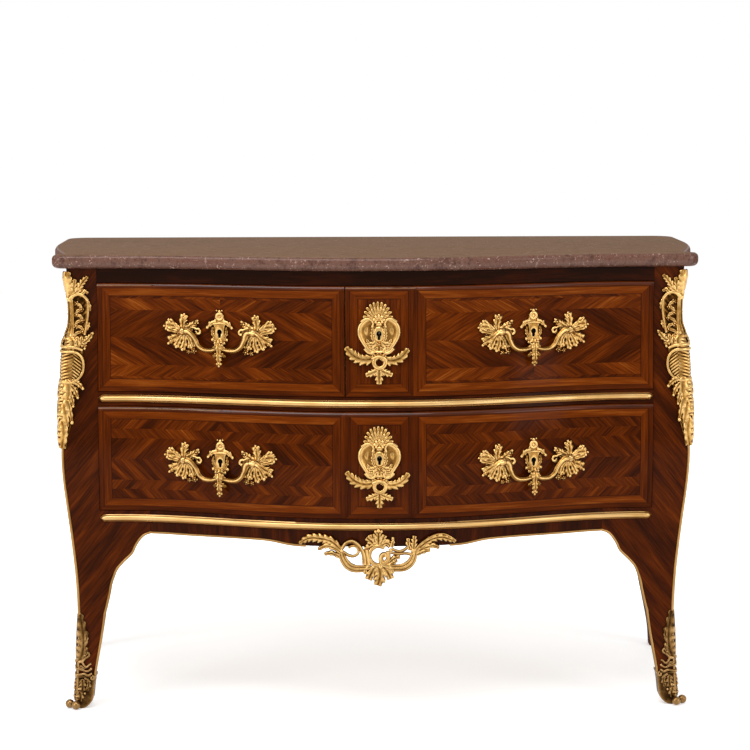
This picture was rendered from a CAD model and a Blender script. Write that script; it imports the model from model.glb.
"""Commode chest: a serpentine chest of drawers with a marble top and gilt bronze mounts."""

import math

import bmesh
import bpy
from mathutils import Matrix, Vector


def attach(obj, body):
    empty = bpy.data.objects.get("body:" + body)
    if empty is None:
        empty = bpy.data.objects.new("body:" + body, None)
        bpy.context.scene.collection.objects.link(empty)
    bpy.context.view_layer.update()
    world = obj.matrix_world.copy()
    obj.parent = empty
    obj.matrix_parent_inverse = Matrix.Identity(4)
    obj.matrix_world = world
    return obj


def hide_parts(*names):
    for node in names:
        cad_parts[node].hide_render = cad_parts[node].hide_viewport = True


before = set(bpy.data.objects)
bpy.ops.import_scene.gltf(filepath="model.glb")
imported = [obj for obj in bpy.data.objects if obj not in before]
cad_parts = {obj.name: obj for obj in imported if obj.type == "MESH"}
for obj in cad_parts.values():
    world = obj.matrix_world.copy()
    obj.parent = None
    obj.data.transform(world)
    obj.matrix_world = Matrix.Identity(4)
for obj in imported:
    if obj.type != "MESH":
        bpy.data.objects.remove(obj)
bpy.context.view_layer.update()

# The studio
# A pale floor without edges, large soft lamps, and a camera at standing height a good four metres
# in front of the chest, tilted a little down.
mm = 0.001
ears_plane = -0.19547  # where the front corner edges stand, across the depth of the chest


def put_up(name, data):
    thing = bpy.data.objects.new(name, data)
    bpy.context.scene.collection.objects.link(thing)
    return thing


camera_data = bpy.data.cameras.new("studio_camera")
camera_data.lens = 111.8
camera_data.sensor_width = 36
camera_data.clip_end = 40
camera = put_up("studio_camera", camera_data)
tilt_down = math.radians(6.98)
roll = math.radians(-0.12)
turn = math.radians(-1.19)
aside, away, eye_height = -0.094, 4.410, 1.1883
camera.matrix_world = (
    Matrix.Translation((aside, ears_plane - away, eye_height)) @ Matrix.Rotation(turn, 4, "Z")
    @ Matrix.Rotation(math.pi / 2 - tilt_down, 4, "X") @ Matrix.Rotation(roll, 4, "Z")
)
bpy.context.scene.camera = camera


def soft_lamp(name, place, aim_height, size, power):
    """A large square lamp that looks at the middle of the chest."""
    lamp = bpy.data.lights.new(name, "AREA")
    lamp.shape = "RECTANGLE"
    lamp.size, lamp.size_y = size
    lamp.energy = power
    thing = put_up(name, lamp)
    thing.location = place
    aim = Vector((0, 0, aim_height)) - Vector(place)
    thing.rotation_euler = aim.to_track_quat("-Z", "Y").to_euler()


soft_lamp("overhead", (-0.6, -1.6, 3.2), 0.5, (2.8, 1.4), 52)
soft_lamp("left_window", (-3.2, -2.4, 1.9), 0.45, (1.8, 2.2), 46)
soft_lamp("right_window", (3.2, -2.6, 1.7), 0.45, (1.6, 2.2), 34)
soft_lamp("back_fill", (0.5, 3.2, 2.2), 0.5, (2.4, 1.2), 34)


class Value:
    """A number or colour that varies over a finish; sums written on it become nodes."""

    def __init__(self, finish, socket):
        self.finish, self.socket = finish, socket

    def math(self, operation, *others):
        return self.finish.add("Math", {"operation": operation}, dict(enumerate((self, *others))))

    def __add__(self, other): return self.math("ADD", other)
    def __radd__(self, other): return self.math("ADD", other)
    def __sub__(self, other): return self.math("SUBTRACT", other)
    def __rsub__(self, other): return self.finish.add("Math", {"operation": "SUBTRACT"}, {0: other, 1: self})
    def __mul__(self, other): return self.math("MULTIPLY", other)
    def __rmul__(self, other): return self.math("MULTIPLY", other)
    def __abs__(self): return self.math("ABSOLUTE")
    def below(self, other): return self.math("LESS_THAN", other)
    def above(self, other): return self.math("GREATER_THAN", other)
    def least(self, other): return self.math("MINIMUM", other)
    def most(self, other): return self.math("MAXIMUM", other)

    def between(self, low, high, start=0.0, end=1.0):
        return self.finish.add(
            "MapRange", {"interpolation_type": "SMOOTHSTEP"},
            {"Value": self, "From Min": low, "From Max": high, "To Min": start, "To Max": end},
        )


def tint(red, green, blue):
    """A colour written as on a paint card, from 0 to 255, for a shader's socket."""
    linear = [part / 12.92 if part <= 0.04 else ((part + 0.055) / 1.055) ** 2.4
              for part in (red / 255, green / 255, blue / 255)]
    return (*linear, 1.0)


class Nodes:
    """The nodes of a finish or of the world, wired up as they are written."""

    def __init__(self, tree):
        self.nodes, self.links = tree.nodes, tree.links

    def set(self, node, sockets):
        for key, value in sockets.items():
            socket = node.inputs[key.replace("_", " ") if isinstance(key, str) else key]
            if isinstance(value, Value):
                self.links.new(value.socket, socket)
            else:
                socket.default_value = value

    def add(self, kind, settings=None, sockets=None, out=0):
        node = self.nodes.new("ShaderNode" + kind)
        for key, value in (settings or {}).items():
            setattr(node, key, value)
        self.set(node, sockets or {})
        return Value(self, node.outputs[out])

    def direct_sight(self):
        """1 for the rays that see a thing, straight, mirrored or through glass, and 0 for its light."""
        seen = [self.add("LightPath", out=f"Is {ray} Ray") for ray in ("Camera", "Glossy", "Transmission")]
        return seen[0].most(seen[1]).most(seen[2])


class Finish(Nodes):
    """A finish under way: a Principled shader and the nodes that vary it."""

    def __init__(self, name, **constants):
        self.material = bpy.data.materials.new(name)
        self.material.use_nodes = True
        super().__init__(self.material.node_tree)
        self.shader = self.nodes["Principled BSDF"]
        self.set(self.shader, constants)

    def point(self):
        return self.add("TexCoord", out="Object")

    def axes(self, vector):
        return [self.add("SeparateXYZ", None, {0: vector}, axis) for axis in "XYZ"]

    def vector(self, x, y, z):
        return self.add("CombineXYZ", None, {0: x, 1: y, 2: z})

    def noise(self, vector, scale, detail=4.0, roughness=0.5):
        sockets = {"Vector": vector, "Scale": scale, "Detail": detail, "Roughness": roughness}
        return self.add("TexNoise", None, sockets)

    def blend(self, factor, first, second):
        return self.add("Mix", {"data_type": "RGBA"}, {0: factor, 6: first, 7: second}, 2)

    def ramp(self, share, stops):
        """A colour that follows a share; each stop is a share and a tint's three numbers."""
        colour = self.add("ValToRGB", None, {"Fac": share})
        ramp = colour.socket.node.color_ramp.elements
        while len(ramp) < len(stops):
            ramp.new(0.5)
        for stop, (position, numbers) in zip(ramp, stops):
            stop.position, stop.color = position, tint(*numbers)
        return colour

    def wear(self, colour, roughness, bump, depth, strength=0.4, **others):
        normal = self.add("Bump", None, {"Height": bump, "Distance": depth, "Strength": strength})
        sockets = {"Base Color": colour, "Roughness": roughness, "Normal": normal}
        self.set(self.shader, {**sockets, **others})
        return self.material


floor_mesh = bmesh.new()
bmesh.ops.create_grid(floor_mesh, x_segments=1, y_segments=1, size=9)
floor_data = bpy.data.meshes.new("studio_floor")
floor_mesh.to_mesh(floor_data)
floor = put_up("studio_floor", floor_data)
floor_finish = Finish("studio_floor", Roughness=0.9, Specular_IOR_Level=0.1)
floor_point = floor_finish.point()
distance = floor_finish.add("VectorMath", {"operation": "LENGTH"}, {0: floor_point}, "Value")
white = floor_finish.direct_sight() * distance.between(0.4, 2.0, 0.42, 0.97)
floor_tone = floor_finish.noise(floor_point, 3.0) * 0.04
floor_finish.set(floor_finish.shader, {
    "Base Color": floor_finish.blend(floor_tone, tint(240, 240, 239), tint(232, 232, 231)),
    "Emission Color": floor_finish.vector(white, white, white), "Emission Strength": 1.0,
})
floor_data.materials.append(floor_finish.material)

world = bpy.data.worlds.new("studio")
bpy.context.scene.world = world
world.use_nodes = True
sky = Nodes(world.node_tree)
backdrop = {"Color": (1, 1, 1, 1), "Strength": sky.direct_sight().between(0.0, 1.0, 0.55, 1.0)}
sky.set(sky.nodes["Background"], backdrop)
bpy.context.scene.view_settings.view_transform = "Standard"

# Front legs
# Each is sawn from thick oak in one piece with its stile, a cabriole foot below and a knee wing glued
# to each inner face, then veneered in kingwood laid aslant. They stand at the front corners.
# Sizes are in millimetres from here on; y runs back from the front corners, and z up from the floor.
corner_half, case_depth, case_height = 586, 512, 853.7
swell_height, side_flare, side_bulge = 13, 36, 6
stile_width, knee_reach = 56, 152
knee_low, knee_edge, wing_top = 197.04, 347.03, 390.1
knee_thickness, knee_runout = 26, 0.3
bow_at_top, bow_at_foot, bow_half = 91, 110, 503
apron_foot = 336.96
foot_draw, foot_draw_height = 13, 22
shoe_floor = 6.3  # the wood of a front foot ends above the sole of its shoe
corner_line = [
    (0, -0.1), (0.02, -0.3), (0.05, -0.42), (0.085, -0.55), (0.125, -0.7), (0.175, -0.8), (0.225, -0.82),
    (0.3, -0.62), (0.37, -0.24), (0.425, 0.12), (0.48, 0.52), (0.53, 0.84), (0.585, 0.98), (0.65, 0.72),
    (0.75, 0.14), (0.83, -0.26), (0.915, -0.36), (0.965, -0.14), (1, 0.04),
]
back_corner_line = [
    (0, 0.9), (0.05, 0.3), (0.11, -0.1), (0.175, -0.4), (0.225, -0.5), (0.3, -0.35), (0.37, -0.1), (0.425, 0.1),
    (0.48, 0.3), (0.585, 0.5), (0.75, 0.1), (0.915, -0.2), (1, 0),
]
leg_width_line = [
    (0, 0.54), (0.05, 0.56), (0.085, 0.61), (0.125, 0.685), (0.175, 0.8), (0.225, 0.9), (0.265, 0.96),
    (0.3, 0.95), (0.37, 0.95), (0.425, 0.96),
]
knee_line = [
    (0, 0.42), (0.2, 0.467), (0.307, 0.487), (0.407, 0.52), (0.513, 0.566), (0.613, 0.651), (0.72, 0.757),
    (0.827, 0.809), (0.933, 0.882), (0.985, 0.95), (1, 1),
]


def along(table, share):
    """A smooth curve through the rows of a table."""
    after = next((i for i, row in enumerate(table) if row[0] > share), None)
    if after == 0:
        return table[0][1]
    if after is None:
        return table[-1][1]
    a, b, c, d = (table[min(len(table) - 1, max(0, after + k))] for k in (-2, -1, 0, 1))
    span = c[0] - b[0]
    low_slope = (c[1] - a[1]) / max(c[0] - a[0], span)
    high_slope = (d[1] - b[1]) / max(d[0] - b[0], span)
    t = (share - b[0]) / span
    low = (2 * t**3 - 3 * t**2 + 1) * b[1] + (t**3 - 2 * t**2 + t) * span * low_slope
    high = (3 * t**2 - 2 * t**3) * c[1] + (t**3 - t**2) * span * high_slope
    return low + high


def mix(low, high, share):
    return low + (high - low) * share


def swell(z):
    """How far the front corner stands out, beyond where it meets the marble."""
    return swell_height * along(corner_line, z / case_height)


def clamp(share):
    return min(1, max(0, share))


def front_y(x, z):
    """How far back the veneered front stands at one place; the middle bows forward."""
    low = clamp((case_height - z) / (case_height - apron_foot))
    arch = (1 + math.cos(math.pi * clamp(abs(x) / bow_half) ** 1.15)) / 2
    return -swell(z) - mix(bow_at_top, bow_at_foot, low) * arch


def side_x(y, z):
    """How far out the veneered side stands at one place."""
    share = clamp((y - stile_width) / (case_depth - stile_width))
    swells = mix(swell(z), swell_height * along(back_corner_line, z / case_height), share)
    flare = side_flare * (1 - math.cos(math.pi * share)) / 2
    return corner_half + swells + flare + side_bulge * math.sin(math.pi * share) ** 2


def into_place(bm):
    """Turns millimetres behind the front corners into the chest's own place in metres."""
    bmesh.ops.scale(bm, vec=(mm, mm, mm), verts=bm.verts)
    bmesh.ops.translate(bm, vec=(0, ears_plane, 0), verts=bm.verts)


def set_piece(name, bm, body, finish, replaced=(), crease=60, mirror=False):
    """Makes a piece of a finished sheet in millimetres, and hangs it on its body."""
    if mirror:
        bmesh.ops.scale(bm, vec=(-1, 1, 1), verts=bm.verts)
        bmesh.ops.reverse_faces(bm, faces=bm.faces)
    into_place(bm)
    for face in bm.faces:
        face.smooth = True
    data = bpy.data.meshes.new(name)
    bm.to_mesh(data)
    bm.free()
    data.set_sharp_from_angle(angle=math.radians(crease))
    for material in finish if isinstance(finish, list) else [finish]:
        data.materials.append(material)
    piece = put_up(name, data)
    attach(piece, body)
    if replaced:
        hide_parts(*replaced)
    return piece


def set_pair(name, make, finish, replaced, crease=60):
    """A piece for the right side of the case, and its mirror image for the left."""
    for side in ("right", "left"):
        set_piece(f"{side}_{name}", make(), "case", finish, [replaced.format(side)], crease,
                  side == "left")


def grain(finish, across, length, lot, stripe=55.0):
    """Streaks of dark and light wood: `across` and `length` run over the grain, in metres."""
    broad = finish.noise(finish.vector(across * stripe, length * 5.0, lot), 1.0, 3.0, 0.55)
    fine = finish.noise(finish.vector(across * stripe * 7, length * 22.0, lot + 3.7), 1.0, 4.0, 0.6)
    pores = finish.noise(finish.vector(across * stripe * 34, length * 90.0, lot + 9.1), 1.0, 2.0, 0.5)
    return broad, fine, pores


kingwood_stops = [
    (0.16, (30, 9, 1)), (0.36, (54, 18, 1)), (0.5, (79, 30, 2)), (0.64, (106, 45, 4)), (0.82, (150, 80, 24)),
]


def veneer_polish(finish, streak, pores, colour, shine=0.07):
    """The French polish over the veneer: glossy, a little uneven, sunk into the pores."""
    roughness = pores.between(0.3, 0.75, 0.34, 0.26) + streak * 0.04
    return finish.wear(colour, roughness, pores * 0.35 + streak, 0.00016, 0.35, Coat_Weight=shine)


def plain_kingwood(name, slant, lot, dark=0.0, sideways=False):
    """Kingwood laid in one direction: `slant` is the angle of the grain above the horizontal."""
    finish = Finish(name, Specular_IOR_Level=0.0, Coat_Roughness=0.10)
    x, y, z = finish.axes(finish.point())
    run = y if sideways else abs(x)
    rise = math.radians(slant)
    across = run * math.sin(rise) - z * math.cos(rise)
    length = run * math.cos(rise) + z * math.sin(rise)
    side = x.above(0.0) * (2.9 if sideways else 5.3)
    broad, fine, pores = grain(finish, across, length, side + lot)
    tone = broad * 0.62 + fine * 0.46 - 0.05 - dark
    return veneer_polish(finish, broad, pores, finish.ramp(tone, kingwood_stops))


leg_veneer = plain_kingwood("kingwood_aslant", 128, 1.0, 0.05)


def sheet(columns, rows, place, bm=None):
    """A grid of points, each put where `place` says for its shares across and up."""
    bm = bm or bmesh.new()
    for vert in bmesh.ops.create_grid(bm, x_segments=columns, y_segments=rows, size=0.5)["verts"]:
        vert.co = place(vert.co.x + 0.5, vert.co.y + 0.5)
    return bm


def thicken(bm, way):
    """Gives a sheet a back, set off from it by `way`, and closes it all round."""
    back = bmesh.ops.extrude_face_region(bm, geom=bm.faces[:])["geom"]
    bmesh.ops.translate(bm, vec=way, verts=[v for v in back if isinstance(v, bmesh.types.BMVert)])
    bmesh.ops.recalc_face_normals(bm, faces=bm.faces)
    return bm


def roll_up(rounds, levels, place):
    """A closed skin rolled from a sheet: `place(i, k)` puts point i of the loop at level k."""
    bm = sheet(rounds, levels - 1, lambda a, b: place(round(a * rounds) % rounds, round(b * (levels - 1))))
    bmesh.ops.remove_doubles(bm, verts=bm.verts, dist=0.002)
    bmesh.ops.holes_fill(bm, edges=[e for e in bm.edges if e.is_boundary])
    bmesh.ops.recalc_face_normals(bm, faces=bm.faces)
    return bm


def spread(low, high, count):
    return [mix(low, high, i / count) for i in range(count)]


def leg_levels(foot):
    """Heights of the loops of a leg, closer together where the wing of the knee ends."""
    levels = spread(foot, knee_low, 22) + spread(knee_low, knee_edge, 24) + [knee_edge]
    levels += [knee_edge + 12, knee_edge + 26, wing_top, wing_top + 0.05]
    return levels + spread(wing_top + 8, case_height, 40) + [case_height]


def knee_at(z):
    """How far in from the corner the knee reaches; below it, its line runs out into the leg."""
    if z > wing_top:
        return 0
    if z < knee_low:
        return max(0, knee_reach * knee_line[0][1] - knee_runout * (knee_low - z))
    return knee_reach * along(knee_line, min(1, (z - knee_low) / (knee_edge - knee_low)))


def leg_width(z):
    return stile_width * along(leg_width_line, z / case_height)


def foot_width(z):
    """Width of a front leg below its knee; the foot draws in at the floor."""
    return leg_width(z) - foot_draw * max(0, 1 - z / foot_draw_height) ** 2


def front_leg_loop(z):
    outer, face = corner_half + swell(z), -swell(z)
    width = stile_width + swell(z) if z > knee_edge else foot_width(z)
    post_x, post_y = outer - width, face + width
    reach = knee_at(z)
    wing_x, wing_y = min(post_x, corner_half - reach), max(post_y, reach)
    thick = min(knee_thickness, width - 1)
    loop = [(x, front_y(x, z)) for x in spread(wing_x, outer, 14)]
    loop += [(side_x(y, z), y) for y in spread(face, wing_y, 14)]
    loop += [(side_x(wing_y, z) - thick * t, wing_y) for t in (0, 1)]
    loop += [(outer - thick, post_y), (post_x, post_y), (post_x, front_y(post_x, z) + thick)]
    loop += [(wing_x, front_y(wing_x, z) + thick)]
    return loop


def leg(loop_at, foot):
    """A closed leg: `loop_at` gives its outline at one height."""
    heights = leg_levels(foot)
    loops = [loop_at(z) for z in heights]
    return roll_up(len(loops[0]), len(heights), lambda i, k: (*loops[k][i], heights[k]))


set_pair("front_leg_veneered", lambda: leg(front_leg_loop, shoe_floor), leg_veneer, "front_{}_leg", 30)

# Back legs
# Plainer posts of the same oak, straighter in the foot, with a knee wing only towards the side.
back_leg_width_line = [
    (0, 0.64), (0.05, 0.56), (0.11, 0.64), (0.175, 0.78), (0.225, 0.9), (0.3, 0.98), (0.425, 1),
]
back_stile_inner = 560


def back_leg_loop(z):
    depth = stile_width if z > knee_edge else leg_width(z)
    width = stile_width * along(back_leg_width_line, z / case_height)
    inner = back_stile_inner if z > knee_edge else side_x(case_depth, z) - width
    post_y = case_depth - depth
    wing_y = min(post_y, case_depth - knee_at(z))
    thick = min(knee_thickness, width - 1)
    loop = [(side_x(y, z), y) for y in spread(wing_y, case_depth, 14)]
    loop += [(x, case_depth) for x in spread(side_x(case_depth, z), inner, 3)]
    loop += [(inner, case_depth), (inner, post_y), (side_x(post_y, z) - thick, post_y)]
    loop += [(side_x(wing_y, z) - thick, wing_y)]
    return loop


set_pair("back_leg_veneered", lambda: leg(back_leg_loop, 0), leg_veneer, "back_{}_leg", 30)

# Side panels
# Oak boards bent to the flare of the sides, with a quartered kingwood field in a crossbanded frame.
board_thickness, board_gap = 18, 0.05
apron_head = wing_top + 0.3
side_fields = [
    (knee_reach + board_gap, case_depth - knee_reach - board_gap, knee_edge, apron_head),
    (stile_width + board_gap, case_depth - stile_width - board_gap, apron_head, case_height),
]
border, edging = 24, 9  # how far the frame of a panel and the strip along its edge reach in
leaves_per_metre = 118


def parquetry(name, sides, heights, slope, field, strip, lot, light=0.0, plain=False, lit=0.6, axis="X"):
    """A panel of kingwood: a frame that follows its edges, and inside it leaves laid in zigzag rows
    that meet in a lozenge. `field` is half the height of the rows in the middle, and `lit` is how
    strongly the polish shines along the upper edge."""
    finish = Finish(name, Specular_IOR_Level=0.0, Coat_Roughness=0.10)
    x, y, z = finish.axes(finish.point())
    u = (x if axis == "X" else y) - sum(sides) / 2 * mm
    v = z - sum(heights) / 2 * mm
    far, high = abs(u), abs(v)
    edge_u = (sides[1] - sides[0]) / 2 * mm - far
    edge_v = (heights[1] - heights[0]) / 2 * mm - high
    edge = edge_u.least(edge_v)
    quarter = u.above(0.0) * 1.7 + v.above(0.0) * 3.1
    row = high.above(field * mm) + high.above((field + strip) * mm)
    across, length = u, v
    if not plain:
        rise = math.radians(slope)
        folded = (field * mm - abs(high - field * mm)).most(high - 2 * strip * mm)
        across = far * math.sin(rise) + folded * math.cos(rise)
        length = far * math.cos(rise) - folded * math.sin(rise)
    broad, fine, pores = grain(finish, across, length, quarter + row * 2.3 + lot, 62.0)
    tone = broad * 0.50 + fine * 0.54 - 0.03 + light
    if not plain:
        for count, weight in ((leaves_per_metre, 0.12), (31, 0.09)):
            number = finish.vector((across * count).math("FLOOR"), quarter + row * 4.0 + lot, 0.0)
            leaf_tone = finish.add("TexWhiteNoise", {"noise_dimensions": "2D"}, {"Vector": number})
            tone = tone + (leaf_tone - 0.5) * weight
        joint = abs((across * leaves_per_metre).math("FRACT") - 0.5).between(0.42, 0.5)
        tone = tone - joint * 0.07 + (row.math("MODULO", 2.0) - 0.5) * 0.04
    tone = tone + (finish.noise(finish.point(), 4.5, 2.0) - 0.5) * 0.26
    on_side = edge_u.below(edge_v)
    band_across = on_side * edge_u + (1 - on_side) * edge_v
    band_length = on_side * v + (1 - on_side) * u
    band_broad, band_fine, _ = grain(finish, band_across, band_length, on_side * 2.0 + lot + 7.0, 75.0)
    band_tone = band_broad * 0.50 + band_fine * 0.34 + 0.19 + light - on_side * 0.11
    band_tone = band_tone - edge.below(edging * mm) * (0.16 - on_side * 0.10)
    shade = finish.blend(edge.below(border * mm), finish.ramp(tone, kingwood_stops),
                         finish.ramp(band_tone, kingwood_stops))
    line = abs(edge - border * mm).between(0.5 * mm, 1.4 * mm, 0.75, 0.0)
    line = line.most(abs(edge - edging * mm).between(0.5 * mm, 1.5 * mm, 0.7, 0.0))
    colour = finish.blend(line * 0.8, shade, tint(36, 12, 3))
    shine = edge_v.between(3 * mm, 9 * mm, lit, 0.0) * v.above(0.0) + 0.06
    return veneer_polish(finish, broad, pores, colour, shine)


def side_panel():
    bm = bmesh.new()
    for start, end, low, high in side_fields:
        def place(a, b):
            y, z = mix(start, end, a), mix(low, high, b)
            return side_x(y, z), y, z

        sheet(16, 24, place, bm)
    thicken(bm, (-board_thickness, 0, 0))
    for face in bm.faces:
        face.material_index = int(face.calc_center_median().z <= wing_top)
    return bm


side_parquet = parquetry("kingwood_side_panel", (-135.5, 256.5), (404, 836), 48, 90, 44, 5.0, lit=0.0, axis="Y")
side_apron_veneer = plain_kingwood("kingwood_side_apron", 20, 8.0, 0.02, sideways=True)
set_pair("side_veneered", side_panel, [side_parquet, side_apron_veneer], "{}_side_panel", 30)

# Rails of the front
# Curved oak rails between the stiles, over, between and under the drawers; the lowest is the apron,
# shaped along its lower edge. Straight-grained kingwood lies along them.
rail_half, rail_depth, drawer_gap = 529.7, 26, 0.9
apron_half, apron_rise = corner_half - knee_reach - 0.3, 10
apron_line = [(0, 1), (0.3, 1), (0.38, 0.85), (0.47, 0.25), (0.58, 0.1), (0.82, 0.12), (0.93, 0.02), (1, 0)]
lower_row, upper_row = (391.0, 592.04), (620.04, 826.04)
keyholes = {"upper_left": (-296, 737.0), "upper_right": (3, 738.02), "lower": (3, 507.01)}
lock_let_in, lock_height, bolt_width, bolt_travel = 12, 70, 16, 8
notch_play, cut_depth = 10, 60


def apron_bottom(x):
    return knee_edge - apron_rise * along(apron_line, abs(x) / apron_half)


def bowed_rail(name, half, low_at, high, finish, replaced):
    def place(a, b):
        x = mix(-half, half, a)
        z = mix(low_at(x), high, b)
        return x, front_y(x, z), z

    bm = thicken(sheet(96, 4, place), (0, rail_depth, 0))
    return set_piece(name, bm, "case", finish, [replaced], 30)


def box(bm, size, middle):
    verts = bmesh.ops.create_cube(bm, size=1)["verts"]
    bmesh.ops.scale(bm, vec=size, verts=verts)
    bmesh.ops.translate(bm, vec=middle, verts=verts)


def cut_away(piece, cutter):
    """Cuts a hole in a finished piece, and clears away the cutter, which is in millimetres."""
    into_place(cutter)
    tool_data = bpy.data.meshes.new("cutter")
    cutter.to_mesh(tool_data)
    cutter.free()
    tool = put_up("cutter", tool_data)
    hole = piece.modifiers.new("hole", "BOOLEAN")
    hole.operation, hole.solver, hole.object, hole.use_self = "DIFFERENCE", "EXACT", tool, True
    graph = bpy.context.evaluated_depsgraph_get()
    cut = bpy.data.meshes.new_from_object(piece.evaluated_get(graph))
    piece.modifiers.clear()
    cut.name = piece.name
    piece.data = cut
    bpy.data.objects.remove(tool)


def lock_cutter(x, z, top, boxes):
    """Boxes cut back from the face of a lock, which stands upright and looks squarely out of the
    front. Each is given as its width, its start behind that face, its foot and its head."""
    heights = (z - lock_height / 2, z + lock_height / 2, top)
    face = max(front_y(x, height) for height in heights) + lock_let_in
    cutter = bmesh.new()
    for width, start, foot, head in boxes:
        box(cutter, (width, cut_depth, head - foot), (0, start + cut_depth / 2, (foot + head) / 2))
    turn = math.atan2(front_y(x + 1, z) - front_y(x - 1, z), 2)
    bmesh.ops.rotate(cutter, matrix=Matrix.Rotation(turn, 3, "Z"), verts=cutter.verts)
    bmesh.ops.translate(cutter, vec=(x, face, z), verts=cutter.verts)
    return cutter


rail_veneer = plain_kingwood("kingwood_rail", 0, 12.0, 0.14)
frieze_veneer = plain_kingwood("kingwood_frieze", 0, 13.0, 0.33)
apron_veneer = plain_kingwood("kingwood_apron", 86, 14.0, 0.14)
frieze = bowed_rail("frieze_veneered", rail_half, lambda x: upper_row[1] + drawer_gap, case_height,
                    frieze_veneer, "frieze_rail")
middle_rail = bowed_rail("middle_rail_veneered", rail_half, lambda x: lower_row[1] + drawer_gap,
                         upper_row[0] - drawer_gap, rail_veneer, "middle_rail")
bowed_rail("apron_veneered", apron_half, apron_bottom, wing_top, apron_veneer, "apron_rail")
for rail, lock, row in ((frieze, "upper_left", upper_row), (frieze, "upper_right", upper_row),
                        (middle_rail, "lower", lower_row)):
    x, z = keyholes[lock]
    notch = (bolt_width + notch_play, 1, 0, row[1] - z + bolt_travel + 1)
    cut_away(rail, lock_cutter(x, z, row[1], [notch]))

# Marble top
# One slab of red-violet marble with white veins, 26 mm thick, its edge worked to a bullnose, with
# round ears over the front corners and hollows behind them. It lies loose on the case.
marble_overhang, ear_proud, side_proud, back_overhang = 13, 28, 18, 12
ear_radius, back_radius = 21, 46
hollow_depth, hollow_length = 18, 12
marble_height, marble_foot = 26, case_height + 0.3
lower_rounding, upper_rounding = 11, 9


def arc(x, y, radius, angles):
    return [(x + radius * math.cos(a), y + radius * math.sin(a)) for a in map(math.radians, angles)]


def marble_line():
    """The right half of the slab's outline, from the middle of the front to the middle of the back."""
    ear_x = corner_half + ear_proud - ear_radius
    line = [(x, front_y(x, case_height) - marble_overhang) for x in spread(0, ear_x, 90)]
    ear_y = front_y(ear_x, case_height) - marble_overhang + ear_radius
    line += arc(ear_x, ear_y, ear_radius, spread(-90, 72, 18) + [72])
    hollow_x = corner_half + ear_proud - hollow_depth
    full_x = corner_half + side_flare + side_proud
    side_start = line[-1][1] + hollow_length
    side_end = case_depth + back_overhang - back_radius
    for share in spread(0, 1, 48) + [1]:
        swelling = math.sin(min(1, share / 0.67) * math.pi / 2)
        line.append((mix(hollow_x, full_x, swelling), mix(side_start, side_end, share)))
    return line + arc(line[-1][0] - back_radius, side_end, back_radius, range(6, 91, 6))


def round_off(bm, edges, width, steps):
    bmesh.ops.bevel(bm, geom=edges, offset=width, offset_type="OFFSET", segments=steps, profile=0.5,
                    affect="EDGES", material=-1)


half_line = marble_line()
bm = bmesh.new()
bm.faces.new([bm.verts.new((x, y, marble_foot)) for x, y in
              half_line + [(-x, y) for x, y in reversed(half_line[1:])]])
thicken(bm, (0, 0, marble_height))
round_off(bm, [e for e in bm.edges if all(v.co.z < marble_foot + 1 for v in e.verts)], lower_rounding, 7)
below_top = marble_foot + marble_height - 0.3
round_off(bm, [e for e in bm.edges if all(v.co.z > below_top for v in e.verts)], upper_rounding, 7)
marble = Finish("red_marble", Specular_IOR_Level=0.0, Coat_Roughness=0.06)
spot = marble.point()
cloud = marble.noise(spot, 9.0, 6.0, 0.6)
speckle = marble.noise(spot, 62.0, 5.0, 0.65)
fine_speck = marble.noise(spot, 260.0, 3.0, 0.6)
shift = marble.vector(cloud * 0.12, cloud * 0.07, speckle * 0.02)
bent_spot = marble.add("VectorMath", {"operation": "ADD"}, {0: spot, 1: shift})
crack, small_crack = (marble.add("TexVoronoi", {"feature": "DISTANCE_TO_EDGE"}, {
    "Vector": bent_spot, "Scale": scale}) for scale in (5.5, 17.0))
body_tone = marble.ramp(cloud * 0.30 + speckle * 0.42 + fine_speck * 0.28, [
    (0.32, (48, 24, 18)), (0.42, (80, 48, 38)), (0.50, (110, 76, 62)), (0.57, (92, 50, 38)),
    (0.68, (152, 116, 100)),
])
vein = crack.between(0.0, 0.008, 0.5, 0.0) * cloud.between(0.50, 0.60)
vein = vein.most(small_crack.between(0.0, 0.02, 0.6, 0.0) * speckle.between(0.56, 0.64))
fleck = fine_speck.between(0.58, 0.66) * speckle.between(0.48, 0.58)
marble_colour = marble.blend(vein.most(fleck) * 0.7, body_tone, tint(200, 174, 160))
facing = marble.axes(marble.add("NewGeometry", out="Normal"))
flat_top, sideways = facing[2].between(0.75, 0.98), abs(facing[0]).between(0.4, 0.8)
marble_colour = marble.blend(flat_top * 0.55, marble_colour, tint(122, 98, 72))
marble.wear(marble_colour, cloud.between(0.3, 0.7, 0.14, 0.24), speckle, 0.0001, 0.2,
            Coat_Weight=(0.5 - flat_top * 0.45) * (1 - sideways * 0.85))
set_piece("marble_slab", bm, "case", marble.material, ["marble_top"], 40)

# Drawer fronts
# Oak fronts sawn to the bow, veneered with framed kingwood panels and rounded along the edges. The
# upper right one carries the panel in the middle, and each has a keyhole bored for its lock.
front_thickness, drawer_proud = 23, 5
front_half = 529.1
partition_x, panel_x = -60.3, 67.0
crown_rounding, edge_rounding = 6.5, 2.6
lock_width, lock_play, bolt_room = 62, 0.3, 5
keyhole_radius, keyhole_depth = 4.3, 90
slot_half, slot_foot, slot_head = 2.3, -11, -2


def keyhole_cutter(x, z):
    """A round bore with a slot below it, right through the wood."""
    cutter = bmesh.new()
    bmesh.ops.create_cone(cutter, cap_ends=True, segments=24, radius1=keyhole_radius, radius2=keyhole_radius,
                          depth=keyhole_depth)
    bmesh.ops.rotate(cutter, matrix=Matrix.Rotation(math.pi / 2, 3, "X"), verts=cutter.verts)
    box(cutter, (2 * slot_half, keyhole_depth, slot_head - slot_foot), (0, 0, (slot_head + slot_foot) / 2))
    bmesh.ops.translate(cutter, vec=(x, front_y(x, z), z), verts=cutter.verts)
    return cutter


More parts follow.
